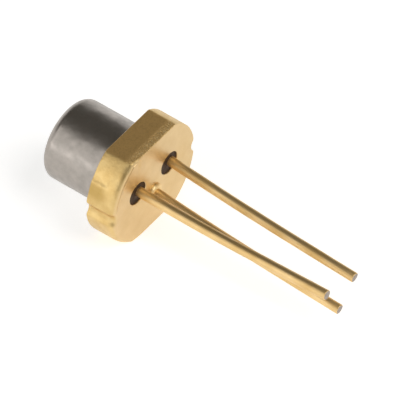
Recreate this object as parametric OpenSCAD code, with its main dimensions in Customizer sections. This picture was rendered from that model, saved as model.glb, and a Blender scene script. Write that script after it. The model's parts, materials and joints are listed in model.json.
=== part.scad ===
// Laser diode in a 3.8 mm can: a gold-plated stem with two flats, a drawn cap with
// a window, and three leads. The laser chip, its heat sink and the monitor
// photodiode stand on the stem inside the cap.
// The beam leaves along +Y, +Z is square to the flats, and the origin is where the
// beam axis meets the stem's seat face. The can lies on its lower flat.

/* [Stem] */
// Diameter of the stem, the size that names the package
stem_d = 3.8; // [3.6:0.05:4]
// Thickness of the stem
stem_t = 0.95; // [0.8:0.05:1.2]
// Width across the two flats
flats_w = 3.26; // [3.1:0.02:3.4]
// Radius of the rolled edge round the back face
back_edge_r = 0.22; // [0.1:0.02:0.3]
// Radius of the back edge along each flat
flat_edge_r = 0.05; // [0.02:0.01:0.08]
// Width of the locating notch in the middle of each round side
notch_w = 0.5; // [0.3:0.05:0.6]
// Depth of the locating notch
notch_depth = 0.13; // [0.08:0.01:0.16]

/* [Leads] */
// Diameter of a lead
lead_d = 0.3; // [0.25:0.01:0.32]
// Distance between the holes of the two glass-sealed leads
lead_pitch = 1.46; // [1.4:0.01:1.5]
// Height of those two holes above the beam axis
seal_z = 0.24; // [0.2:0.01:0.28]
// Diameter of a glass seal
seal_d = 0.74; // [0.6:0.02:0.78]
// How far the ground lead sits below the beam axis
ground_drop = 0.31; // [0.25:0.01:0.5]
// Diameter of the braze ring round the root of the ground lead
braze_d = 0.58; // [0.45:0.01:0.6]

/* [Cap] */
// Outer diameter of the cap
cap_d = 2.5; // [2.4:0.02:2.56]
// Height of the cap above the seat face
cap_h = 2.12; // [2:0.02:2.4]
// Thickness of the cap's drawn sheet
cap_t = 0.12; // [0.1:0.01:0.14]
// Outer radius of the cap's rounded top edge
cap_edge_r = 0.3; // [0.2:0.02:0.34]
// Diameter of the cap's weld flange
flange_d = 2.9; // [2.84:0.02:2.96]
// Diameter of the opening that the beam leaves through
aperture_d = 1.2; // [1:0.05:1.4]

/* [Optics] */
// Height of the chip's front facet above the seat face
facet_y = 1.27; // [1.2:0.01:1.35]
// Width of the heat sink
sink_w = 0.9; // [0.8:0.02:0.96]
// Width of the submount
submount_w = 0.6; // [0.5:0.02:0.62]
// Width of the laser chip
chip_w = 0.25; // [0.2:0.01:0.3]
// Length of the laser chip
chip_l = 0.6; // [0.4:0.02:0.7]
// Side of the square monitor photodiode
monitor_w = 0.4; // [0.3:0.02:0.42]
// Tilt that keeps the photodiode's reflection out of the chip, in degrees
monitor_tilt = 12; // [8:1:14]
// Thickness of the window
window_t = 0.25; // [0.2:0.01:0.3]

/* [Hidden] */

LEFT = -1;
RIGHT = 1;
ROUND = 96;      // facets of the large round surfaces
SMALL = 32;      // facets of the leads and seals
OVER = 0.1;      // how far a cutter runs past a face

stem_r = stem_d / 2;
notch_r = (notch_w * notch_w / 4 + notch_depth * notch_depth) / (2 * notch_depth);
weld_land_depth = 0.02;   // shallow land that the cap's flange is welded in
weld_land_r = flange_d / 2 + 0.05;

lead_r = lead_d / 2;
seal_r = seal_d / 2;
seal_recess = 0.05;       // how far the glass stops short of both faces
lead_off = [0.055, 0.04]; // where the glass-sealed leads stand off their holes' centres

// The bends of each lead past the stem: [turn up in degrees, straight after it] pairs.
laser_lead_bends = [[-1, 1.9], [1.3, 0.95], [1.3, 1.05], [0.6, 2.63]];
monitor_lead_bends = [[-3, 0.12], [-3, 1.95], [0.8, 1.1], [0.8, 1.1], [0.8, 2.18]];
ground_lead_bends = [[-3, 0.12], [-3, 1.9], [0.8, 1.1], [0.8, 1.1], [0.8, 2.1]];
bend_swell = 1.02;        // how much thicker than its lead a bend is
bend_gap = 0.1;           // share of lead_r that each straight stops short of a bend
laser_post_h = 0.95;      // how far the laser's lead stands up inside the cap
monitor_post_h = 0.3;
post_flat = 0.04;         // depth of the flat that the laser's wire is bonded to
post_flat_l = 0.4;
braze_h = 0.13;

cap_r = cap_d / 2;
cap_base_y = -weld_land_depth;
cap_inside_y = cap_h - cap_t;
flange_fillet_r = 0.1;
frit_t = 0.03;            // solder glass between the window and the cap
window_r = cap_r - cap_edge_r - 0.05;

braze_t = 0.015;
solder_t = 0.01;
submount_t = 0.15;
chip_t = 0.1;
chip_top_z = 0.005;       // the light comes from just under the chip's top
submount_top_z = chip_top_z - chip_t - solder_t;
sink_top_z = submount_top_z - submount_t - solder_t;
sink_r = 1;
sink_h = facet_y + 0.02;
submount_l = 0.84;

monitor_t = 0.12;
adhesive_t = 0.02;
monitor_z = 0.08;         // height of the photodiode's centre above the beam axis
pocket_w = monitor_w + 0.08;
pocket_depth = 0.07;      // depth of the tilted pocket at its middle

wire_r = 0.0125;
WIRE_SIDES = 8;
WIRE_STEPS = 12;
ball_r = 0.035;
ball_h = 0.02;
bond_below_top = 0.15;    // how far below the laser post's tip its wire is bonded
submount_pad_x = 0.22;    // place of the bond on the submount, beside the chip
submount_bond_drop = 0.4; // how far that bond lies behind the front facet
laser_wire_rise = 0.28;   // how high each wire arches over the line between its ends
submount_wire_rise = 0.1;
monitor_wire_rise = 0.2;

function unit(v) = v / norm(v);
function seal_x(side) = side * lead_pitch / 2;
function post_x(side) = seal_x(side) + lead_off[0];
post_z = seal_z + lead_off[1];

// Turns a shape made about the Z axis so that it points along the beam.
module along_beam(x = 0, y = 0, z = 0) {
    translate([x, y, z]) rotate([-90, 0, 0]) children();
}

// A profile in [distance from the axis, height] with a rounded corner cut away.
module corner_cut(r) {
    difference() {
        translate([-r, -OVER]) square([r + OVER, r + OVER]);
        translate([-r, r]) circle(r, $fn = SMALL);
    }
}

module stem_blank() {
    along_beam(y = -stem_t) rotate_extrude($fn = ROUND) difference() {
        square([stem_r, stem_t]);
        translate([stem_r, 0]) corner_cut(back_edge_r);
    }
}

// The slab between the two flats, with its back edges eased.
module flats_slab() {
    translate([-stem_d / 2 - OVER, 0, 0]) rotate([90, 0, 90])
        linear_extrude(stem_d + 2 * OVER) difference() {
            translate([-stem_t - OVER, -flats_w / 2]) square([stem_t + 2 * OVER, flats_w]);
            for (side = [-1, 1]) scale([1, side])
                translate([-stem_t, flats_w / 2]) rotate(90) corner_cut(flat_edge_r);
        }
}

module monitor_frame() {
    translate([0, -weld_land_depth - pocket_depth, monitor_z])
        rotate([-monitor_tilt, 0, 0]) children();
}

module stem() color("goldenrod") difference() {
    intersection() {
        stem_blank();
        flats_slab();
    }
    for (side = [LEFT, RIGHT]) {
        along_beam(side * (stem_r - notch_depth + notch_r), -stem_t - OVER)
            cylinder(r = notch_r, h = stem_t + 2 * OVER, $fn = ROUND);
        along_beam(seal_x(side), -stem_t - OVER, seal_z)
            cylinder(r = seal_r, h = stem_t + 2 * OVER, $fn = SMALL);
    }
    along_beam(y = -weld_land_depth) cylinder(r = weld_land_r, h = OVER, $fn = ROUND);
    monitor_frame() translate([-pocket_w / 2, 0, -pocket_w / 2])
        cube([pocket_w, pocket_depth + 2 * OVER, pocket_w]);
}

module glass_seal(side) {
    h = stem_t - weld_land_depth - 2 * seal_recess;
    color("dimgray") difference() {
        along_beam(seal_x(side), -stem_t + seal_recess, seal_z)
            cylinder(r = seal_r, h = h, $fn = SMALL);
        along_beam(post_x(side), -stem_t, post_z)
            cylinder(r = lead_r, h = stem_t + OVER, $fn = SMALL);
    }
}

// The straights and bends of a lead from bend i on, which leaves along +Z and bends
// towards +Y. A ball a hair thicker than the lead fills each bend.
module bent_lead(bends, i = 0) {
    l = bends[i][1];
    gap = lead_r * bend_gap;
    is_last = i == len(bends) - 1;
    sphere(r = lead_r * bend_swell, $fn = SMALL);
    rotate([-bends[i][0], 0, 0]) {
        translate([0, 0, gap])
            cylinder(r = lead_r, h = is_last ? l - gap : l - 2 * gap, $fn = SMALL);
        if (!is_last) translate([0, 0, l]) bent_lead(bends, i + 1);
    }
}

// A lead that runs straight from top_y to its first bend at bend_y and on along its bends.
module lead(x, z, top_y, bend_y, bends) {
    along_beam(x, bend_y + lead_r * bend_gap, z)
        cylinder(r = lead_r, h = top_y - bend_y - lead_r * bend_gap, $fn = SMALL);
    translate([x, bend_y, z]) rotate([90, 0, 0]) bent_lead(bends);
}

module laser_lead() color("gold") difference() {
    lead(post_x(LEFT), post_z, laser_post_h, -stem_t, laser_lead_bends);
    translate([post_x(LEFT) - lead_r - OVER, laser_post_h - post_flat_l,
               post_z + lead_r - post_flat])
        cube([lead_d + 2 * OVER, post_flat_l + OVER, lead_d]);
}

module monitor_lead() color("gold")
    lead(post_x(RIGHT), post_z, monitor_post_h, -stem_t, monitor_lead_bends);

module ground_lead() color("gold")
    lead(0, -ground_drop, -stem_t, -stem_t - braze_h - lead_r / 2, ground_lead_bends);

// A ring of braze whose edge swells round the lead's root.
module ground_braze() color("khaki") difference() {
    along_beam(0, -stem_t - braze_h, -ground_drop) rotate_extrude($fn = SMALL)
        difference() {
            square([braze_d / 2, braze_h]);
            translate([braze_d / 2, 0]) corner_cut(braze_h * 0.8);
        }
    along_beam(0, -stem_t - braze_h - OVER, -ground_drop)
        cylinder(r = lead_r, h = braze_h + 2 * OVER, $fn = SMALL);
}

module cap_profile() {
    difference() {
        union() {
            translate([0, cap_base_y]) square([cap_r, cap_h - cap_base_y]);
            translate([0, cap_base_y]) square([flange_d / 2, cap_t]);
            translate([cap_r, cap_base_y + cap_t]) difference() {
                square(flange_fillet_r);
                translate([flange_fillet_r, flange_fillet_r])
                    circle(flange_fillet_r, $fn = SMALL);
            }
        }
        translate([cap_r, cap_h]) mirror([0, 1]) corner_cut(cap_edge_r);
        difference() {
            translate([0, cap_base_y - OVER])
                square([cap_r - cap_t, cap_inside_y - cap_base_y + OVER]);
            translate([cap_r - cap_t, cap_inside_y]) mirror([0, 1])
                corner_cut(cap_edge_r - cap_t);
        }
        square([aperture_d / 2, cap_h + OVER]);
    }
}

module cap() color("silver") along_beam() rotate_extrude($fn = ROUND) cap_profile();

module window() color("lightcyan", 0.5)
    along_beam(y = cap_inside_y - frit_t - window_t)
        cylinder(r = window_r, h = window_t, $fn = ROUND);

// Solder glass between the window and the cap, swelling round the window's edge.
module window_seal() color("slategray") along_beam() rotate_extrude($fn = ROUND)
    difference() {
        translate([aperture_d / 2, cap_inside_y - frit_t - window_t / 2])
            square([cap_r - cap_edge_r - aperture_d / 2, frit_t + window_t / 2]);
        translate([0, cap_inside_y - frit_t - window_t]) square([window_r, window_t]);
    }

// A half-moon post with a flat face under the beam axis.
module sink_outline() {
    intersection() {
        circle(sink_r, $fn = ROUND);
        translate([-sink_w / 2, -sink_top_z]) square([sink_w, sink_r]);
    }
}

module heat_sink() color("chocolate")
    along_beam(y = braze_t - weld_land_depth)
        linear_extrude(sink_h - braze_t + weld_land_depth) sink_outline();

module sink_braze() color("khaki")
    along_beam(y = -weld_land_depth) linear_extrude(braze_t) sink_outline();

module plate_on_sink(w, l, z, t) {
    translate([-w / 2, facet_y - l, z]) cube([w, l, t]);
}

module submount_solder() color("lightgray")
    plate_on_sink(submount_w, submount_l, sink_top_z, solder_t);

module submount() color("whitesmoke")
    plate_on_sink(submount_w, submount_l, sink_top_z + solder_t, submount_t);

module chip_solder() color("lightgray")
    plate_on_sink(chip_w, chip_l, submount_top_z, solder_t);

module laser_chip() color("darkslategray")
    plate_on_sink(chip_w, chip_l, submount_top_z + solder_t, chip_t);

module photodiode_adhesive() color("lightgray") monitor_frame()
    translate([-monitor_w / 2, 0, -monitor_w / 2]) cube([monitor_w, adhesive_t, monitor_w]);

module monitor_photodiode() color("midnightblue") monitor_frame()
    translate([-monitor_w / 2, adhesive_t, -monitor_w / 2])
        cube([monitor_w, monitor_t, monitor_w]);

// A bond wire that arches from one pad to another, rising by h towards up.
module arched_wire(from, to, up, h) {
    side = unit(cross(to - from, up));
    rings = [for (i = [0 : WIRE_STEPS])
        let (t = i / WIRE_STEPS,
             at = from + (to - from) * t + up * h * 4 * t * (1 - t),
             ahead = unit(to - from + up * h * 4 * (1 - 2 * t)),
             out = cross(side, ahead))
        [for (j = [0 : WIRE_SIDES - 1])
            let (a = j * 360 / WIRE_SIDES)
            at + wire_r * (cos(a) * out + sin(a) * side)]];
    n = WIRE_SIDES;
    last = WIRE_STEPS * n;
    polyhedron(
        points = [for (ring = rings) each ring],
        faces = [
            [for (j = [0 : n - 1]) j],
            [for (j = [n - 1 : -1 : 0]) last + j],
            for (i = [0 : WIRE_STEPS - 1], j = [0 : n - 1])
                each let (k = (j + 1) % n)
                [[i * n + j, (i + 1) * n + j, (i + 1) * n + k],
                 [i * n + j, (i + 1) * n + k, i * n + k]]
        ]);
}

// The squashed ball at the end of a bond wire, standing on a pad that faces +Z.
module bond_ball(at) {
    translate(at) cylinder(r = ball_r, h = ball_h, $fn = 12);
}

module laser_wire() color("gold") {
    pad = [0, facet_y - chip_l / 2, chip_top_z];
    bond_ball(pad);
    arched_wire(pad, [post_x(LEFT), laser_post_h - bond_below_top,
                      post_z + lead_r - post_flat], [0, 0, 1], laser_wire_rise);
}

module submount_wire() color("gold") {
    bond_y = facet_y - submount_bond_drop;
    pad = [submount_pad_x, bond_y, submount_top_z];
    bond_ball(pad);
    arched_wire(pad, [(submount_w + sink_w) / 4, bond_y, sink_top_z], [0, 0, 1],
                submount_wire_rise);
}

module monitor_wire() color("gold") {
    pad_y = adhesive_t + monitor_t - weld_land_depth - pocket_depth;
    arched_wire([monitor_w / 4, pad_y, monitor_z],
                [post_x(RIGHT), monitor_post_h, post_z], [0, 1, 0], monitor_wire_rise);
}

stem();
glass_seal(LEFT);  // glass_seal_left
glass_seal(RIGHT);  // glass_seal_right
laser_lead();
monitor_lead();
ground_lead();
ground_braze();
cap();
window();
window_seal();
heat_sink();
sink_braze();
submount();
submount_solder();
laser_chip();
chip_solder();
monitor_photodiode();
photodiode_adhesive();
laser_wire();
submount_wire();
monitor_wire();
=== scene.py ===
"""Looks of the laser diode: a gold-plated stem with three leads under a windowed cap.

The stem, cap, leads, seals and braze are rebuilt here with fine edges and plated
finishes. The window and the pieces under the cap keep their CAD solids and get finishes.
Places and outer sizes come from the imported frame. Lengths are in metres unless a comment
says otherwise.
"""

import json
import math

import bmesh
import bpy
from mathutils import Matrix, Vector
from mathutils.geometry import delaunay_2d_cdt


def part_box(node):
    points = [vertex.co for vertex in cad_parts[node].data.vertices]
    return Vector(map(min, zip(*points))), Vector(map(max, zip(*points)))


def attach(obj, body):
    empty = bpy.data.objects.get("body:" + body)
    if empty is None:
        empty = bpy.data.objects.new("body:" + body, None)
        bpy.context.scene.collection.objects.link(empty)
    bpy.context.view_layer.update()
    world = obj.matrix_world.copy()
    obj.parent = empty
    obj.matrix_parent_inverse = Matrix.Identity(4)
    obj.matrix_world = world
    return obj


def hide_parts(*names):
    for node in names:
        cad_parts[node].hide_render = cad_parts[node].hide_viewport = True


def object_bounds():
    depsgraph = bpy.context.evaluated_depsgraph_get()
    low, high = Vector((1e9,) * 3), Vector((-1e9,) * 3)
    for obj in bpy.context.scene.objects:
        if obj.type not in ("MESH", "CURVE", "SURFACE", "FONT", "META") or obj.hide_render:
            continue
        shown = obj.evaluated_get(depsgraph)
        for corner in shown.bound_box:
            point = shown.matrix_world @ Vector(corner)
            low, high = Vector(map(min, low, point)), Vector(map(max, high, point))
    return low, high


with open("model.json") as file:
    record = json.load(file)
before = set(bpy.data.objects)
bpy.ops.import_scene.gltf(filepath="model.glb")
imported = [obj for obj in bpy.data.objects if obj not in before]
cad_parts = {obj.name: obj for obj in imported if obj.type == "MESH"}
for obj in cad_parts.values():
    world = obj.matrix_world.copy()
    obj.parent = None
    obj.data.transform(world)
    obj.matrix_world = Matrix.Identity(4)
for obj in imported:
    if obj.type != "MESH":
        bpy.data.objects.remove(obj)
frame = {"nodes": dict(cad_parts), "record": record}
cad_lo, cad_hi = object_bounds()

MM = 0.001
TAU = 2 * math.pi
MERGE = 1e-7                 # vertices closer than this are one
BEAM = Vector((0, 1, 0))
MOUNTS = {m["name"]: m for m in frame["record"]["mounts"]}
NODES = frame["nodes"]


# ---------------------------------------------------------------- sizes

def mount_r(name):
    """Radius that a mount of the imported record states."""
    return MOUNTS[name]["dims"]["r_mm"] * MM


stem_lo, stem_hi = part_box("stem")
cap_lo, cap_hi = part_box("cap")
seal_lo, seal_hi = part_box("glass_seal_left")

STEM_R = mount_r("stem_rim")
STEM_T = -stem_lo.y
FLAT_Z = stem_hi.z
BACK_Y = stem_lo.y
NOTCH_HALF_W = math.sqrt(STEM_R ** 2 - stem_hi.x ** 2)
NOTCH_DEPTH = 0.13 * MM      # how deep the notches at +X and -X are
EDGE_ROLL = 0.035 * MM       # broken back edge
SHEAR_INSET = 0.09 * MM      # how far the sheared band on the -X side leans in
SHEAR_LENGTH = 0.2 * MM      # and how far it reaches along the rim
BURR_GROOVE = 0.03 * MM      # depth of the groove that the shear left just inside that edge
STEP_DEPTH = 0.026 * MM      # pressed step across the -X side of the rim
HOLLOW_DEPTH = 0.016 * MM    # and the shallow hollow under it
STEP_RISE = (0.92, 1.03)     # heights in mm between which the step comes in,
STEP_FALL = (1.05, 1.5)      # and between which it goes out again
HOLLOW_RISE = (0.25, 0.6)    # and the same for the hollow
HOLLOW_FALL = (0.65, 0.95)
FADE_START = -0.45 * MM      # both fade out between these two distances behind the seat
FADE_END = -0.6 * MM
FRONT_ROLL = 0.03 * MM       # eased edge round the seat face
LAND_DEPTH = -cap_lo.y       # weld land that the cap's flange stands in
LAND_R = cap_hi.x + 0.05 * MM
HOLE_EASE = 0.02 * MM
POCKET_W = 0.48 * MM         # square pocket that holds the photodiode
POCKET_DEPTH = 0.07 * MM
POCKET_Z = 0.08 * MM
POCKET_TILT = math.radians(12)

CAP_R = mount_r("cap_barrel")
CAP_TOP = cap_hi.y
CAP_T = 0.12 * MM
CAP_EDGE = 0.3 * MM
FLANGE_R = cap_hi.x
APERTURE_R = 0.6 * MM

SEAL_R = (seal_hi.x - seal_lo.x) / 2
LEAD_R = mount_r("ground_lead_end")
LEAD_OFF = Vector((0.055, 0, 0.04)) * MM  # the leads stand off their holes' centres
CLIMB_LEAD = 0.035 * MM      # how high the glass climbs up the lead
CLIMB_WALL = 0.015 * MM      # and up its hole
POST_FLAT_LENGTH = 0.4 * MM  # flat on the laser lead's post, where its wire is bonded
POST_FLAT_DEPTH = 0.04 * MM


# ---------------------------------------------------------------- mesh helpers

def new_piece(name, verts, faces, sharp_deg=32):
    """A smooth-shaded mesh object with creases kept sharp."""
    mesh = bpy.data.meshes.new(name)
    mesh.from_pydata([tuple(v) for v in verts], [], faces)
    bm = bmesh.new()
    bm.from_mesh(mesh)
    bmesh.ops.remove_doubles(bm, verts=bm.verts, dist=MERGE)
    bmesh.ops.recalc_face_normals(bm, faces=bm.faces)
    bm.to_mesh(mesh)
    bm.free()
    mesh.shade_smooth()
    mesh.set_sharp_from_angle(angle=math.radians(sharp_deg))
    obj = bpy.data.objects.new(name, mesh)
    bpy.context.scene.collection.objects.link(obj)
    return obj


def weigh_normals(obj):
    """Lets the large flat faces keep their own normals where small curved ones meet them."""
    mod = obj.modifiers.new("normals", "WEIGHTED_NORMAL")
    mod.mode = "FACE_AREA"
    mod.keep_sharp = True
    bpy.context.view_layer.update()
    shown = obj.evaluated_get(bpy.context.evaluated_depsgraph_get())
    mesh = bpy.data.meshes.new_from_object(shown)
    obj.modifiers.clear()
    obj.data = mesh


def loft(rings, closed_ends=(True, True)):
    """Vertices and faces of a skin over rings that have the same number of points."""
    n = len(rings[0])
    verts = [p for ring in rings for p in ring]
    faces = []
    for i in range(len(rings) - 1):
        for j in range(n):
            k = (j + 1) % n
            faces.append((i * n + j, (i + 1) * n + j, (i + 1) * n + k, i * n + k))
    if closed_ends[0]:
        faces.append(tuple(range(n)))
    if closed_ends[1]:
        faces.append(tuple(range((len(rings) - 1) * n, len(rings) * n)))
    return verts, faces


def flat_face(y, loops):
    """A flat face at y inside the first loop and outside the others."""
    points, outlines = [], []
    for loop in loops:
        outlines.append(list(range(len(points), len(points) + len(loop))))
        points += [Vector((p.x, p.z)) / MM for p in loop]
    triangles_without_holes = 2
    verts, _, faces, *_ = delaunay_2d_cdt(points, [], outlines, triangles_without_holes, 1e-7)
    return [Vector((v.x * MM, y, v.y * MM)) for v in verts], faces


def join(*skins):
    """Vertices and faces of several skins together."""
    verts, faces = [], []
    for more_verts, more_faces in skins:
        first = len(verts)
        verts += more_verts
        faces += [tuple(first + i for i in face) for face in more_faces]
    return verts, faces


def revolve_rings(profile, sides, centre):
    """Rings round an axis along Y through centre, one for each [distance, y] point."""
    turns = [TAU * j / sides for j in range(sides)]
    return [
        [centre + Vector((r * math.cos(t), y, r * math.sin(t))) for t in turns]
        for r, y in profile
    ]


def revolve(profile, sides, centre=Vector((0, 0, 0))):
    """A closed profile of [distance, y] points turned round an axis along Y."""
    rings = revolve_rings(profile, sides, centre)
    return loft([*rings, rings[0]], (False, False))


def arc(cx, cy, r, start, end, steps):
    """Points of a profile's arc, with angles in degrees."""
    return [
        (
            cx + r * math.cos(math.radians(start + (end - start) * i / steps)),
            cy + r * math.sin(math.radians(start + (end - start) * i / steps)),
        )
        for i in range(steps + 1)
    ]


# ---------------------------------------------------------------- materials

class Shader:
    """A material's node tree, built one call at a time."""

    def __init__(self, name):
        self.material = bpy.data.materials.new(name)
        self.material.use_nodes = True
        self.tree = self.material.node_tree
        self.tree.nodes.clear()
        coords = self.tree.nodes.new("ShaderNodeTexCoord")
        self.place = coords.outputs["Object"]

    def add(self, kind, inputs=None, **settings):
        """Adds a node. An input's value is a socket to link or a constant."""
        node = self.tree.nodes.new("ShaderNode" + kind)
        for key, value in settings.items():
            setattr(node, key, value)
        for key, value in (inputs or {}).items():
            if isinstance(value, bpy.types.NodeSocket):
                self.tree.links.new(value, node.inputs[key])
            else:
                node.inputs[key].default_value = value
        return node

    def noise(self, size, detail=3.0, rough=0.55, stretch=(1, 1, 1), seed=0.0):
        """Noise from 0 to 1 whose patches are about size across."""
        place = self.add(
            "Mapping", {"Vector": self.place, "Scale": stretch, "Location": (seed, seed, 0)}
        )
        made = self.add(
            "TexNoise",
            {"Vector": place.outputs[0], "Scale": 1 / size, "Detail": detail, "Roughness": rough},
        )
        return made.outputs["Fac"]

    def span(self, value, lo, hi, out_lo, out_hi):
        """Maps a value from one range to another and clamps it."""
        made = self.add(
            "MapRange",
            {"Value": value, "From Min": lo, "From Max": hi, "To Min": out_lo, "To Max": out_hi},
        )
        return made.outputs[0]

    def math(self, operation, a, b=0.0):
        return self.add("Math", {0: a, 1: b}, operation=operation).outputs[0]

    def product(self, a, b):
        return self.math("MULTIPLY", a, b)

    def mix(self, factor, a, b):
        """Mixes two colours."""
        made = self.tree.nodes.new("ShaderNodeMix")
        made.data_type = "RGBA"
        sockets = {"Factor": made.inputs[0], "A": made.inputs[6], "B": made.inputs[7]}
        for key, value in (("Factor", factor), ("A", a), ("B", b)):
            if isinstance(value, bpy.types.NodeSocket):
                self.tree.links.new(value, sockets[key])
            elif key == "Factor":
                sockets[key].default_value = value
            else:
                sockets[key].default_value = (*value, 1)
        return made.outputs[2]

    def axis(self, name):
        return self.add("SeparateXYZ", {0: self.place}).outputs[name]

    def bump(self, height, distance, strength=1.0, normal=None):
        inputs = {"Height": height, "Distance": distance, "Strength": strength}
        if normal is not None:
            inputs["Normal"] = normal
        return self.add("Bump", inputs).outputs[0]

    def finish(self, inputs):
        """Closes the tree with a Principled shader."""
        principled = self.add("BsdfPrincipled", inputs)
        self.add("OutputMaterial", {"Surface": principled.outputs[0]})
        return self.material


def metal(shader, colour, rough, normal):
    return shader.finish(
        {"Base Color": colour, "Metallic": 1.0, "Roughness": rough, "Normal": normal}
    )


def hollow_painted_shade(s):
    """From 0 to 0.7: painted shade, a darker patch in the hollow that was pressed into the rim at -X,
    under its step.
    """
    height = s.axis("Z")
    over = s.span(height, 0.3 * MM, 0.6 * MM, 0, 1)
    under = s.span(height, 0.95 * MM, 0.85 * MM, 0, 1)
    left = s.span(s.axis("X"), -0.8 * MM, -1.4 * MM, 0, 1)
    near_seat = s.span(s.axis("Y"), -0.65 * MM, -0.35 * MM, 0, 0.7)
    return s.product(s.product(s.product(over, under), left), near_seat)


def gold_plate():
    """Satin gold plating over stamped steel, duller and rougher on the sheared flats, with painted shade
    and painted glints in places.
    """
    s = Shader("gold_plate")
    mottle = s.noise(0.5 * MM, 4)
    grain = s.noise(0.035 * MM, 3)
    blots = s.span(s.noise(0.3 * MM, 3, seed=9.0), 0.35, 0.65, 0, 1)
    specks = s.span(s.noise(0.05 * MM, 2, 0.7, seed=3.0), 0.48, 0.6, 0, 1)
    # painted glints: bright flecks for the torn strip's speckled highlights
    painted_glints = s.span(s.noise(0.04 * MM, 2, seed=7.0), 0.5, 0.6, 0, 0.55)
    # where the surface is: off the back face, on the flats, in the torn strip at their back edge
    side = s.span(s.axis("Y"), BACK_Y + 0.01 * MM, BACK_Y + 0.07 * MM, 0, 1)
    height = s.math("ABSOLUTE", s.axis("Z"))
    sheared = s.span(height, FLAT_Z - 0.03 * MM, FLAT_Z - 0.005 * MM, 0, 1)
    torn = s.product(sheared, s.span(s.axis("Y"), BACK_Y + 0.3 * MM, BACK_Y + 0.1 * MM, 0, 1))
    colour = s.mix(s.span(mottle, 0.3, 0.7, 0, 1), (0.77, 0.57, 0.30), (0.71, 0.51, 0.25))
    # partly painted shade: off the back face the gold turns darker, standing in for less light on the rim;
    # the blots in it are the plating's own patchy tone
    colour = s.mix(side, colour, s.mix(blots, (0.76, 0.55, 0.24), (0.67, 0.46, 0.18)))
    # painted shade: the hollow under the step at -X is darkened in colour
    colour = s.mix(hollow_painted_shade(s), colour, (0.48, 0.31, 0.09))
    colour = s.mix(sheared, colour, (0.74, 0.49, 0.19))
    # painted glints: the torn strip gets bright flecks in its colour
    colour = s.mix(s.product(torn, painted_glints), colour, (0.95, 0.78, 0.42))
    pits = s.product(sheared, s.span(specks, 0, 1, 0, 0.14))
    colour = s.mix(pits, colour, (0.25, 0.14, 0.04))
    rough = s.span(s.math("ADD", grain, sheared), 0.3, 1.6, 0.37, 0.62)
    normal = s.bump(mottle, 0.004 * MM)
    normal = s.bump(grain, 0.0006 * MM, normal=normal)
    normal = s.bump(s.product(side, blots), 0.008 * MM, normal=normal)
    normal = s.bump(s.product(torn, specks), 0.03 * MM, normal=normal)
    return metal(s, colour, rough, normal)


def gold_wire_drawn():
    """Gold plating over drawn wire, with faint lines along it."""
    s = Shader("gold_lead")
    lines = s.noise(0.12 * MM, 1, stretch=(1, 0.06, 1))
    mottle = s.noise(0.8 * MM, 1)
    colour = s.mix(s.span(mottle, 0.35, 0.65, 0, 1), (0.84, 0.60, 0.29), (0.75, 0.51, 0.21))
    normal = s.bump(lines, 0.0006 * MM)
    normal = s.bump(mottle, 0.002 * MM, normal=normal)
    rough = s.span(mottle, 0.3, 0.7, 0.40, 0.48)
    return metal(s, colour, rough, normal)


def cut_end():
    """The bare core that the cut ends of the leads show, smeared by the shear."""
    s = Shader("cut_end")
    lines = s.noise(0.02 * MM, 3, stretch=(1, 1, 0.2))
    colour = s.mix(s.span(lines, 0.35, 0.65, 0, 1), (0.42, 0.36, 0.31), (0.30, 0.25, 0.22))
    normal = s.bump(lines, 0.003 * MM)
    return metal(s, colour, 0.45, normal)


def nickel():
    """Satin nickel on the drawn cap, gently wavy from the press."""
    s = Shader("nickel")
    waves = s.noise(0.6 * MM, 2, 0.4)
    stain = s.noise(0.25 * MM, 4, seed=5.0)
    grain = s.noise(0.02 * MM, 2)
    colour = s.mix(s.span(stain, 0.3, 0.7, 0, 1), (0.435, 0.392, 0.355), (0.35, 0.322, 0.29))
    normal = s.bump(waves, 0.035 * MM)
    normal = s.bump(grain, 0.0006 * MM, normal=normal)
    rough = s.span(stain, 0.3, 0.7, 0.30, 0.40)
    return metal(s, colour, rough, normal)


def seal_glass():
    """Dark sealing glass with tiny bubbles."""
    s = Shader("seal_glass")
    patches = s.noise(0.12 * MM, 3)
    bubbles = s.span(s.noise(0.03 * MM, 1, seed=2.0), 0.62, 0.7, 0, 1)
    colour = s.mix(s.span(patches, 0.3, 0.7, 0, 1), (0.055, 0.030, 0.016), (0.100, 0.058, 0.030))
    normal = s.bump(bubbles, 0.003 * MM)
    return s.finish(
        {"Base Color": colour, "Roughness": 0.4, "Normal": normal, "Specular IOR Level": 0.06}
    )


def braze():
    """Bright braze, plated over with the stem."""
    s = Shader("braze")
    flow = s.noise(0.1 * MM, 2)
    colour = s.mix(s.span(flow, 0.3, 0.7, 0, 1), (0.90, 0.68, 0.35), (0.84, 0.61, 0.29))
    normal = s.bump(flow, 0.003 * MM)
    return metal(s, colour, 0.45, normal)


def simple_metal(name, light, dark, rough, patch, wave):
    """A plated or soldered surface with patches of two tones."""
    s = Shader(name)
    patches = s.noise(patch, 3)
    colour = s.mix(s.span(patches, 0.3, 0.7, 0, 1), light, dark)
    normal = s.bump(patches, wave)
    roughness = s.span(patches, 0.3, 0.7, rough, rough + 0.12)
    return metal(s, colour, roughness, normal)


def window_glass():
    """Clear glass with an anti-reflection coating's faint tint."""
    s = Shader("window_glass")
    haze = s.noise(0.3 * MM, 3)
    colour = s.mix(s.span(haze, 0.3, 0.7, 0, 1), (0.93, 0.97, 0.98), (0.88, 0.94, 0.97))
    rough = s.span(haze, 0.3, 0.7, 0.0, 0.03)
    return s.finish(
        {"Base Color": colour, "Roughness": rough, "IOR": 1.3, "Transmission Weight": 1.0}
    )


def frit():
    """Matt solder glass."""
    s = Shader("frit")
    patches = s.noise(0.05 * MM, 3)
    colour = s.mix(s.span(patches, 0.3, 0.7, 0, 1), (0.16, 0.17, 0.17), (0.10, 0.11, 0.11))
    normal = s.bump(patches, 0.004 * MM)
    return s.finish({"Base Color": colour, "Roughness": 0.55, "Normal": normal})


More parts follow.
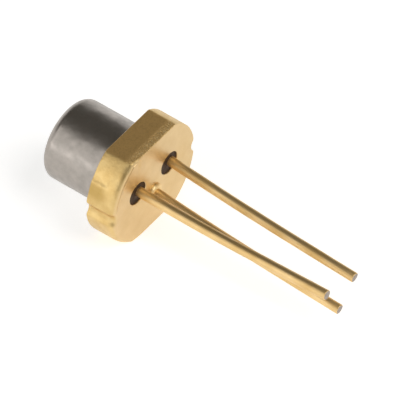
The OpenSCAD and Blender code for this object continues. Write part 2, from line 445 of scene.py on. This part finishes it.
def ceramic(name, light, dark, rough, patch):
    """A fired, cut or polished surface with patches of two tones."""
    s = Shader(name)
    patches = s.noise(patch, 3)
    colour = s.mix(s.span(patches, 0.3, 0.7, 0, 1), light, dark)
    normal = s.bump(patches, 0.001 * MM)
    return s.finish({"Base Color": colour, "Roughness": rough, "Normal": normal})


GOLD = gold_plate()
LEAD_GOLD = gold_wire_drawn()
CUT_END = cut_end()
NICKEL = nickel()
SEAL_GLASS = seal_glass()
BRAZE = braze()


# ---------------------------------------------------------------- stem

OUTLINE_POINTS = 960
CORNER_EASE = 4              # outline points that its corners are eased over
NORMAL_EASE = 9              # and its normals, so that the inset edge rings stay apart


def outline_radius(t):
    """Distance of the stem's outline from the axis in the direction t."""
    r = STEM_R
    s = abs(math.sin(t))
    if s * r > FLAT_Z:
        r = FLAT_Z / s
    scoop_r = (NOTCH_HALF_W ** 2 + NOTCH_DEPTH ** 2) / (2 * NOTCH_DEPTH)
    along = (STEM_R - NOTCH_DEPTH + scoop_r) * abs(math.cos(t))
    inside = scoop_r ** 2 - (STEM_R - NOTCH_DEPTH + scoop_r) ** 2 + along ** 2
    if inside > 0:
        r = min(r, along - math.sqrt(inside))
    return r


def eased(values, spread):
    """A closed list's running mean, weighed by a bell of the given spread in points."""
    n = len(values)
    reach = range(-3 * spread, 3 * spread + 1)
    weights = [math.exp(-((k / spread) ** 2)) for k in reach]
    total = sum(weights)
    made = []
    for i in range(n):
        near = [values[(i + k) % n] * w for k, w in zip(reach, weights)]
        made.append(sum(near[1:], near[0]) / total)
    return made


def stem_outline():
    """The outline's points [x, z] with eased corners, and its outward normals."""
    n = OUTLINE_POINTS
    radii = eased([outline_radius(TAU * i / n) for i in range(n)], CORNER_EASE)
    points = []
    for i, r in enumerate(radii):
        z = min(max(r * math.sin(TAU * i / n), -FLAT_Z), FLAT_Z)
        points.append(Vector((r * math.cos(TAU * i / n), z)))
    normals = []
    for i in range(n):
        along = points[(i + 1) % n] - points[i - 1]
        normals.append(Vector((along.y, -along.x)).normalized())
    return points, [v.normalized() for v in eased(normals, NORMAL_EASE)]


def smooth_step(x, lo, hi):
    """0 up to lo, 1 from hi on and a smooth rise between them."""
    t = min(max((x - lo) / (hi - lo), 0), 1)
    return t * t * (3 - 2 * t)


def shear_share(point):
    """From 0 to 1: how much of the sheared band an outline point has."""
    return smooth_step(-point.x, 0.5 * MM, 1.2 * MM)


def roll_inset(point):
    """How far the back edge lies inside the outline."""
    return EDGE_ROLL + SHEAR_INSET * shear_share(point)


def roll_length(point):
    """How far from the back face the edge starts to roll in."""
    return EDGE_ROLL + SHEAR_LENGTH * shear_share(point)


def rim_dent(point, y):
    """How far the rim lies in at a point: a pressed step over a shallow hollow at -X."""
    if point.x > 0:
        return 0.0
    z = point.y / MM
    step = smooth_step(z, *STEP_RISE) - smooth_step(z, *STEP_FALL)
    hollow = smooth_step(z, *HOLLOW_RISE) - smooth_step(z, *HOLLOW_FALL)
    return smooth_step(y, FADE_END, FADE_START) * (STEP_DEPTH * step + HOLLOW_DEPTH * hollow)


def stem_ring(points, normals, inset, y):
    """One ring of the stem. inset and y are functions of the outline's point."""
    ring = []
    for p, n in zip(points, normals):
        q = p - n * (inset(p) + rim_dent(p, y(p)))
        ring.append(Vector((q.x, y(p), q.y)))
    return ring


def circle_ring(points, r, y):
    """A round ring whose points lie towards the outline's points."""
    return [Vector((r * p.x / p.length, y, r * p.y / p.length)) for p in points]


def seal_hole(node):
    """Rings of the hole round a seal, from the land to the eased edge at the back face."""
    lo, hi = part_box(node)
    profile = [(SEAL_R, -LAND_DEPTH), (SEAL_R, BACK_Y + HOLE_EASE)]
    profile += arc(SEAL_R + HOLE_EASE, BACK_Y + HOLE_EASE, HOLE_EASE, 180, 270, 4)[1:]
    return revolve_rings(profile, 96, Vector(((lo.x + hi.x) / 2, 0, (lo.z + hi.z) / 2)))


def diode_pocket():
    """The upper and lower rings of the tilted pocket that the photodiode lies in."""
    tilt = Matrix.Rotation(-POCKET_TILT, 3, "X")
    middle = Vector((0, -LAND_DEPTH - POCKET_DEPTH, POCKET_Z))
    wall = tilt @ BEAM
    upper, lower = [], []
    for x, z in ((-1, -1), (1, -1), (1, 1), (-1, 1)):
        corner = middle + tilt @ Vector((x, 0, z)) * POCKET_W / 2
        lower.append(corner)
        upper.append(corner + wall * (-LAND_DEPTH - corner.y) / wall.y)
    return upper, lower


def make_stem():
    """The stem as one closed skin: weld land, rim, rolled back edge, seal holes and pocket."""
    points, normals = stem_outline()
    land = [circle_ring(points, LAND_R, -LAND_DEPTH), circle_ring(points, LAND_R, 0)]
    side = []
    for i in range(4):
        a = math.radians(90 - 30 * i)
        inset = FRONT_ROLL * (1 - math.cos(a))
        drop = FRONT_ROLL * (1 - math.sin(a))
        side.append(stem_ring(points, normals, lambda p: inset, lambda p: -drop))
    bands = 16
    for k in range(1, bands):
        side.append(
            stem_ring(
                points, normals, lambda p: 0,
                lambda p: -FRONT_ROLL - k / bands * (STEM_T - FRONT_ROLL - roll_length(p)),
            )
        )
    steps = 12
    for i in range(steps + 1):
        a = math.radians(90 * i / steps)
        side.append(
            stem_ring(
                points, normals, lambda p: roll_inset(p) * (1 - math.cos(a)),
                lambda p: BACK_Y + roll_length(p) * (1 - math.sin(a)),
            )
        )
    groove_profile = [(0.012 * MM, BURR_GROOVE), (0.022 * MM, BURR_GROOVE), (0.034 * MM, 0)]
    for step_in, depth in groove_profile:
        side.append(
            stem_ring(
                points, normals, lambda p: roll_inset(p) + step_in,
                lambda p: BACK_Y + depth * shear_share(p) * smooth_step(p.y, 0.2 * MM, 0.5 * MM),
            )
        )
    holes = [seal_hole("glass_seal_left"), seal_hole("glass_seal_right")]
    upper, lower = diode_pocket()
    stem = new_piece("stem_body", *join(
        loft([*land, *side], (False, False)),
        *(loft(rings, (False, False)) for rings in holes),
        loft([upper, lower], (False, True)),
        flat_face(BACK_Y, [side[-1], *(rings[-1] for rings in holes)]),
        flat_face(-LAND_DEPTH, [land[0], *(rings[0] for rings in holes), upper]),
    ))
    weigh_normals(stem)
    stem.data.materials.append(GOLD)
    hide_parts("stem")
    return stem


# ---------------------------------------------------------------- cap

def make_cap():
    """The drawn cap, turned from its section: flange, wall, rounded edge and aperture."""
    wall = CAP_R - CAP_T
    fillet = 0.1 * MM
    lip = 0.02 * MM
    inner_edge = CAP_EDGE - CAP_T
    base = cap_lo.y
    profile = [(wall, base)]
    profile += arc(FLANGE_R - lip, base + lip, lip, -90, 0, 4)
    profile += arc(FLANGE_R - lip, base + CAP_T - lip, lip, 0, 90, 4)
    profile += arc(CAP_R + fillet, base + CAP_T + fillet, fillet, -90, -180, 6)
    profile += [(CAP_R, base + CAP_T + fillet + (CAP_TOP - base) * s) for s in (0.2, 0.4, 0.6)]
    profile += arc(CAP_R - CAP_EDGE, CAP_TOP - CAP_EDGE, CAP_EDGE, 0, 90, 12)
    profile += arc(APERTURE_R + lip, CAP_TOP - lip, lip, 90, 180, 4)
    profile += arc(APERTURE_R + lip, CAP_TOP - CAP_T + lip, lip, 180, 270, 4)
    profile += arc(CAP_R - CAP_EDGE, CAP_TOP - CAP_EDGE, inner_edge, 90, 0, 6)
    cap = new_piece("cap_shell", *revolve(profile, 256))
    cap.data.materials.append(NICKEL)
    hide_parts("cap")
    return cap


# ---------------------------------------------------------------- leads

def lead_path(name, root, top_y):
    """Centres of a lead: straight through the stem, bending gently, then straight."""
    mount = MOUNTS[name + "_end"]
    axis = Vector(mount["axis"]).normalized()
    half = mount["dims"]["length_mm"] * MM / 2
    start, tip = Vector(mount["pos_m"]) - axis * half, Vector(mount["pos_m"]) + axis * half
    elbow = start - axis * (start - root).length / 2
    path = [Vector((root.x, top_y, root.z)), Vector((root.x, (top_y + root.y) / 2, root.z))]
    for i in range(21):
        t = i / 20
        path.append(root * (1 - t) ** 2 + elbow * 2 * t * (1 - t) + start * t ** 2)
    path += [start.lerp(tip, s) for s in (0.3, 0.6, 1)]
    return path


def make_lead(name, root, top_y, post_flat=None):
    """A lead with a bevelled cut end. post_flat [y, z] flattens its post above y, down to z."""
    sides = 40
    bevel = 0.018 * MM
    path = lead_path(name, root, top_y)
    rings = []

    def ring(centre, along, r, slant=0.0):
        across = Vector((1, 0, 0))
        up = across.cross(along).normalized()
        points = []
        for j in range(sides):
            t = TAU * j / sides
            offset = (across * math.cos(t) + up * math.sin(t)) * r
            points.append(centre + offset + along * slant * math.sin(t))
        return points

    last = len(path) - 1
    for i, centre in enumerate(path):
        along = (path[min(i + 1, last)] - path[max(i - 1, 0)]).normalized()
        if i == 0:
            rings.append(ring(centre, along, LEAD_R - bevel))
            rings.append(ring(centre + along * bevel, along, LEAD_R))
        elif i == last:
            for k in range(4):
                a = math.radians(30 * k)
                r = LEAD_R - bevel * (1 - math.cos(a))
                rings.append(ring(centre - along * bevel * (1 - math.sin(a)), along, r))
        else:
            rings.append(ring(centre, along, LEAD_R))
    verts, faces = loft(rings)
    if post_flat is not None:
        bottom_y, top_z = post_flat
        verts = [
            Vector((v.x, v.y, min(v.z, top_z))) if v.y > bottom_y else v for v in verts
        ]
    lead = new_piece(name + "_wire", verts, faces)
    lead.data.materials.append(LEAD_GOLD)
    lead.data.materials.append(CUT_END)
    tip = path[-1]
    for face in lead.data.polygons:
        if len(face.vertices) == sides and (face.center - tip).length < LEAD_R:
            face.material_index = 1
    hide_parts(name)
    return lead


def make_seal(name, lead_root):
    """Sealing glass that climbs a little up its hole and up the lead."""
    lo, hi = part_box(name)
    centre = (lo + hi) / 2
    sides, steps = 64, 10

    def surface(y_face, way):
        rings = []
        for i in range(steps + 1):
            s = i / steps
            ring = []
            for j in range(sides):
                t = TAU * j / sides
                direction = Vector((math.cos(t), 0, math.sin(t)))
                outer = Vector((centre.x, 0, centre.z)) + direction * SEAL_R
                inner = Vector((lead_root.x, 0, lead_root.z)) + direction * LEAD_R
                p = outer.lerp(inner, s)
                climb = CLIMB_LEAD * s ** 4 + CLIMB_WALL * (1 - s) ** 4
                p.y = y_face + way * climb
                ring.append(p)
            rings.append(ring)
        return rings

    rings = surface(lo.y, -1) + list(reversed(surface(hi.y, 1)))
    rings.append(rings[0])
    seal = new_piece(name + "_bead", *loft(rings, (False, False)), sharp_deg=50)
    seal.data.materials.append(SEAL_GLASS)
    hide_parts(name)
    return seal


def make_braze():
    """The braze collar round the ground lead's root."""
    lo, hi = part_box("ground_braze")
    centre = Vector(((lo.x + hi.x) / 2, 0, (lo.z + hi.z) / 2))
    r, h = (hi.x - lo.x) / 2, BACK_Y - lo.y
    edge = 0.8 * h
    profile = [(LEAD_R, BACK_Y), (r, BACK_Y), (r, BACK_Y - h + edge)]
    profile += arc(r - edge, BACK_Y - h + edge, edge, 0, -90, 8)
    profile += [(LEAD_R, BACK_Y - h)]
    piece = new_piece("braze_collar", *revolve(profile, 64, centre))
    piece.data.materials.append(BRAZE)
    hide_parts("ground_braze")
    return piece


def seal_root(node):
    """Where a sealed lead leaves the back face."""
    lo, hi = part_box(node)
    return Vector(((lo.x + hi.x) / 2, BACK_Y, (lo.z + hi.z) / 2)) + LEAD_OFF


laser_root = seal_root("glass_seal_left")
monitor_root = seal_root("glass_seal_right")
braze_lo, braze_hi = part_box("ground_braze")
ground_root = Vector((0, braze_lo.y - LEAD_R / 2, (braze_lo.z + braze_hi.z) / 2))

pieces = [
    make_stem(),
    make_cap(),
    make_lead(
        "laser_lead", laser_root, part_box("laser_lead")[1].y,
        (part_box("laser_lead")[1].y - POST_FLAT_LENGTH, laser_root.z + LEAD_R - POST_FLAT_DEPTH),
    ),
    make_lead("monitor_lead", monitor_root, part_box("monitor_lead")[1].y),
    make_lead("ground_lead", ground_root, BACK_Y),
    make_seal("glass_seal_left", laser_root),
    make_seal("glass_seal_right", monitor_root),
    make_braze(),
]
for piece in pieces:
    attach(piece, "root")


# ---------------------------------------------------------------- inner pieces

GOLD_PAD = simple_metal("gold_pad", (0.85, 0.62, 0.28), (0.78, 0.55, 0.22), 0.25, 0.1 * MM, 0.001 * MM)
SOLDER = simple_metal("solder", (0.70, 0.62, 0.45), (0.60, 0.52, 0.36), 0.35, 0.05 * MM, 0.002 * MM)
INNER_FINISH = {
    "heat_sink": simple_metal(
        "gold_on_copper", (0.83, 0.58, 0.25), (0.76, 0.51, 0.2), 0.3, 0.3 * MM, 0.002 * MM
    ),
    "sink_braze": BRAZE,
    "submount": ceramic("aluminium_nitride", (0.62, 0.60, 0.54), (0.56, 0.53, 0.47), 0.5, 0.05 * MM),
    "submount_solder": SOLDER,
    "chip_solder": SOLDER,
    "laser_chip": ceramic("laser_crystal", (0.05, 0.045, 0.05), (0.08, 0.07, 0.075), 0.15, 0.1 * MM),
    "monitor_photodiode": ceramic("silicon", (0.02, 0.03, 0.08), (0.04, 0.05, 0.12), 0.12, 0.1 * MM),
    "photodiode_adhesive": ceramic("silver_epoxy", (0.45, 0.45, 0.44), (0.36, 0.36, 0.35), 0.5, 0.03 * MM),
    "laser_wire": GOLD_PAD,
    "submount_wire": GOLD_PAD,
    "monitor_wire": GOLD_PAD,
    "window": window_glass(),
    "window_seal": frit(),
}
for node, material in INNER_FINISH.items():
    NODES[node].data.materials.clear()
    NODES[node].data.materials.append(material)


# ---------------------------------------------------------------- floor, light, camera

FLOOR_HALF = 0.4             # half the floor's width, in metres
FLOOR_GLOW = 0.62            # what the floor adds to its own light to show as white
WHITE_BELOW = 0.12           # the backdrop is white up to this rise of a direction
DIM_ABOVE = 0.42             # and the dim ceiling from here on
CEILING = (0.10, 0.094, 0.082, 1)


def make_floor():
    """A pale floor that also shows white in the metal, and keeps the object's shadow."""
    size = FLOOR_HALF
    z = cad_lo.z
    corners = [(-size, -size, z), (size, -size, z), (size, size, z), (-size, size, z)]
    mesh = bpy.data.meshes.new("floor")
    mesh.from_pydata(corners, [], [(0, 1, 2, 3)])
    floor = bpy.data.objects.new("floor", mesh)
    bpy.context.scene.collection.objects.link(floor)
    s = Shader("floor")
    path = s.add("LightPath")
    seen = s.math("MAXIMUM", path.outputs["Is Camera Ray"], path.outputs["Is Glossy Ray"])
    seen = s.math("MAXIMUM", seen, path.outputs["Is Transmission Ray"])
    matt = s.add("BsdfDiffuse", {"Color": (0.86, 0.86, 0.85, 1)})
    white = s.add("Emission", {"Color": (1, 1, 1, 1), "Strength": s.product(seen, FLOOR_GLOW)})
    blend = s.add("AddShader")
    s.tree.links.new(matt.outputs[0], blend.inputs[0])
    s.tree.links.new(white.outputs[0], blend.inputs[1])
    below = s.add("NewGeometry")
    clear = s.add("BsdfTransparent")
    sided = s.add("MixShader", {0: below.outputs["Backfacing"]})
    s.tree.links.new(blend.outputs[0], sided.inputs[1])
    s.tree.links.new(clear.outputs[0], sided.inputs[2])
    s.add("OutputMaterial", {"Surface": sided.outputs[0]})
    mesh.materials.append(s.material)


def make_world():
    """A pale backdrop round the horizon under a dim ceiling."""
    world = bpy.data.worlds.new("studio")
    bpy.context.scene.world = world
    world.use_nodes = True
    tree = world.node_tree
    tree.nodes.clear()
    coords = tree.nodes.new("ShaderNodeTexCoord")
    split = tree.nodes.new("ShaderNodeSeparateXYZ")
    rise = tree.nodes.new("ShaderNodeMapRange")
    rise.interpolation_type = "SMOOTHSTEP"
    rise.inputs["From Min"].default_value = WHITE_BELOW
    rise.inputs["From Max"].default_value = DIM_ABOVE
    blend = tree.nodes.new("ShaderNodeMix")
    blend.data_type = "RGBA"
    blend.inputs[6].default_value = (1, 1, 1, 1)
    blend.inputs[7].default_value = CEILING
    shade = tree.nodes.new("ShaderNodeBackground")
    out = tree.nodes.new("ShaderNodeOutputWorld")
    links = tree.links
    links.new(coords.outputs["Generated"], split.inputs[0])
    links.new(split.outputs["Z"], rise.inputs["Value"])
    links.new(rise.outputs[0], blend.inputs[0])
    links.new(blend.outputs[2], shade.inputs["Color"])
    links.new(shade.outputs[0], out.inputs["Surface"])


def make_lamp(name, direction, distance, size, radiance, target=Vector((0, -2 * MM, 0))):
    """A square softbox that faces the object. radiance 1 looks white in a mirror."""
    lamp = bpy.data.lights.new(name, "AREA")
    lamp.shape = "SQUARE"
    lamp.size = size
    lamp.energy = radiance * math.pi * size ** 2
    obj = bpy.data.objects.new(name, lamp)
    direction = Vector(direction).normalized()
    obj.location = target + direction * distance
    obj.rotation_mode = "QUATERNION"
    obj.rotation_quaternion = direction.to_track_quat("Z", "Y")
    bpy.context.scene.collection.objects.link(obj)


AZIMUTH, ELEVATION, ROLL = -54, 47.7, 1.2      # degrees
VIEW_WIDTH = 11.217 * MM                       # what the square frame takes in
SEAT_IN_FRAME = Vector((-2.058, 0.875)) * MM   # the seat's centre, right and up of the middle
LENS = 1000


def make_camera():
    """The camera at the product view's angle, far off with a long lens."""
    a, e, roll = (math.radians(d) for d in (AZIMUTH, ELEVATION, ROLL))
    back = Vector((math.sin(a) * math.cos(e), -math.cos(a) * math.cos(e), math.sin(e)))
    level = Vector((math.cos(a), math.sin(a), 0))
    rise = back.cross(level)
    right = level * math.cos(roll) + rise * math.sin(roll)
    up = rise * math.cos(roll) - level * math.sin(roll)
    camera = bpy.data.cameras.new("camera")
    camera.lens = LENS
    obj = bpy.data.objects.new("camera", camera)
    distance = VIEW_WIDTH * LENS / camera.sensor_width
    aim = -right * SEAT_IN_FRAME.x - up * SEAT_IN_FRAME.y
    turn = Matrix((right, up, back)).transposed().to_4x4()
    obj.matrix_world = Matrix.Translation(aim + back * distance) @ turn
    camera.clip_start = distance * 0.1
    camera.clip_end = distance * 10
    bpy.context.scene.collection.objects.link(obj)
    bpy.context.scene.camera = obj


make_floor()
make_world()
make_lamp("softbox_left", (-0.75, 0.35, 0.5), 0.12, 0.12, 1.0)
make_lamp("softbox_behind", (0.1, -0.6, 0.8), 0.14, 0.10, 2.5)
make_camera()
bpy.context.scene.view_settings.view_transform = "Standard"
